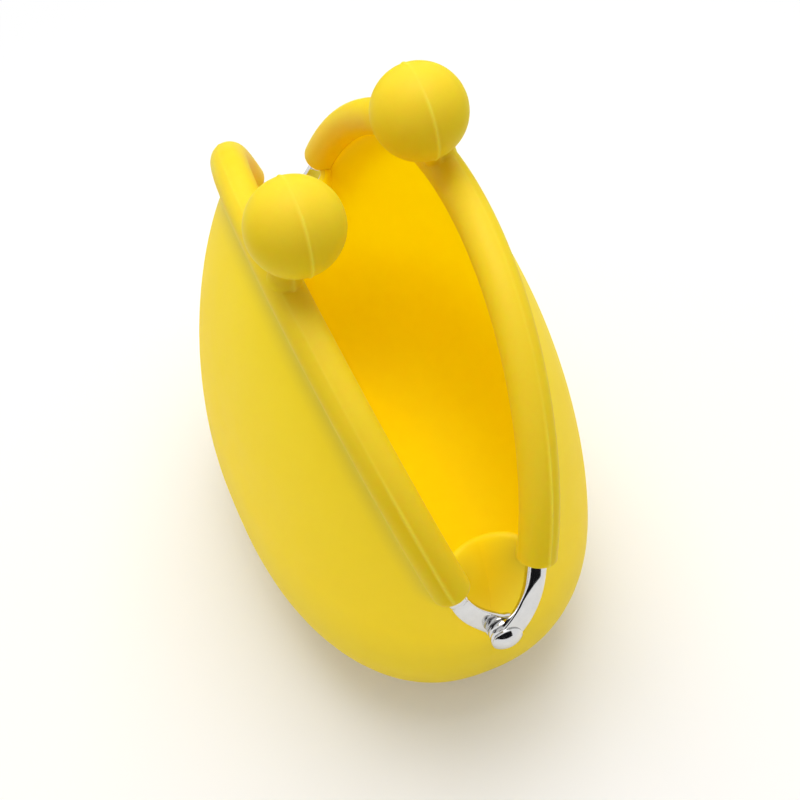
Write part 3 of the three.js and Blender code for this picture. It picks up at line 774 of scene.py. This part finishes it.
# Studio
# A pale table, which fades to plain white, under one large soft light from above and weaker ones at
# the sides. The metal mirrors white surroundings and, at each end of the purse, two dark cards, which
# light nothing and cast no shadow.
WHITE = (1, 1, 1, 1)
TABLE_HALF = 1.5
TABLE_TONE = (0.93, 0.92, 0.90, 1)
TABLE_ROUGHNESS = 0.8
TABLE_GLOSS = 0.2
TABLE_FADING = (0.03, 0.16)  # distances between which the table turns to plain white
TABLE_VEIL = 0.15  # share of plain white close by, which lightens the shadow
CARD_TONE = (0.01, 0.01, 0.012, 1)
CARD_HALF = 0.5  # of the unit square that a card is stretched from
CARDS = {  # place, width and height
    "end_card": (Vector((0.165, -0.01, 0.044)), 0.15, 0.086),
    "corner_card": (Vector((0.135, -0.11, 0.04)), 0.12, 0.08),
}
LAMPS = {  # place, width and power
    "key_light": (Vector((-0.15, 0.03, 0.58)), 0.5, 3.0),
    "left_light": (Vector((0.05, -0.45, 0.2)), 0.4, 0.1),
    "right_light": (Vector((-0.28, 0.36, 0.22)), 0.4, 0.22),
}
SKY_TONE = (1, 0.97, 0.93, 1)
SKY_STRENGTH = 0.46
LIGHT_BOUNCES = 24  # inside the pouch light goes to and fro many times


def rays(flow, first, *others):
    """1 for rays of these kinds, 0 for the light that falls on other things."""
    total = flow.node("ShaderNodeLightPath", output=first)
    for kind in others:
        total = total + flow.node("ShaderNodeLightPath", output=kind)
    return total


table, table_shader, table_place = new_finish("pale_table")
table_shader.inputs["Base Color"].default_value = TABLE_TONE
table_shader.inputs["Roughness"].default_value = TABLE_ROUGHNESS
table_shader.inputs["Specular IOR Level"].default_value = TABLE_GLOSS
distance = table_place.node("ShaderNodeVectorMath", {"operation": "LENGTH"}, {0: table_place}, "Value")
fading = {"Value": distance, "From Min": TABLE_FADING[0], "From Max": TABLE_FADING[1]}
far = table_place.node("ShaderNodeMapRange", {"interpolation_type": "SMOOTHSTEP"}, fading)
veil = (far * (1 - TABLE_VEIL) + TABLE_VEIL) * rays(table_place, "Is Camera Ray", "Is Glossy Ray")
plain_white = table_place.node("ShaderNodeEmission", inputs={"Color": WHITE, "Strength": 1})
lit_table = Flow(table_shader.outputs["BSDF"])
table_look = table_place.node("ShaderNodeMixShader", inputs={0: veil, 1: lit_table, 2: plain_white})
table_look.feed(table.node_tree.nodes["Material Output"], "Surface")
table_mesh = bmesh.new()
bmesh.ops.create_grid(table_mesh, x_segments=1, y_segments=1, size=TABLE_HALF)
new_piece("floor", table_mesh, table)

dark_card, card_shader, _ = new_finish("dark_card")
card_shader.inputs["Base Color"].default_value = CARD_TONE
card_shader.inputs["Specular IOR Level"].default_value = 0
for end, way in (("right", Matrix.Identity(4)), ("left", TURN_ROUND)):
    for name, (place, width, height) in CARDS.items():
        card_mesh = bmesh.new()
        bmesh.ops.create_grid(card_mesh, x_segments=1, y_segments=1, size=CARD_HALF)
        facing = (place - hinge).to_track_quat("Z", "Y").to_matrix().to_4x4()
        stand = way @ Matrix.Translation(place) @ facing @ Matrix.Diagonal((width, height, 1, 1))
        card = new_piece(f"{end}_{name}", card_mesh, dark_card, stand)
        card.visible_camera = card.visible_diffuse = card.visible_shadow = card.visible_transmission = False

for name, (place, width, power) in LAMPS.items():
    lamp = bpy.data.objects.new(name, bpy.data.lights.new(name, "AREA"))
    lamp.data.size = width
    lamp.data.energy = power
    lamp.location = place
    lamp.rotation_euler = (place - hinge).to_track_quat("Z", "Y").to_euler()
    lamp.visible_glossy = name == "key_light"  # the side lights leave no highlight
    bpy.context.scene.collection.objects.link(lamp)

world = bpy.data.worlds.new("studio")
world.use_nodes = True
sky = world.node_tree.nodes["Background"]
sky.inputs["Color"].default_value = SKY_TONE
sky.inputs["Strength"].default_value = SKY_STRENGTH
sky_light = Flow(sky.outputs["Background"])
seen = rays(sky_light, "Is Camera Ray", "Is Glossy Ray", "Is Transmission Ray")
white = sky_light.node("ShaderNodeBackground", inputs={"Color": WHITE, "Strength": 1})
backdrop = sky_light.node("ShaderNodeMixShader", inputs={0: seen, 1: sky_light, 2: white})
backdrop.feed(world.node_tree.nodes["World Output"], "Surface")
bpy.context.scene.world = world
bpy.context.scene.cycles.diffuse_bounces = LIGHT_BOUNCES
bpy.context.scene.cycles.max_bounces = LIGHT_BOUNCES
bpy.context.scene.view_settings.view_transform = "Standard"
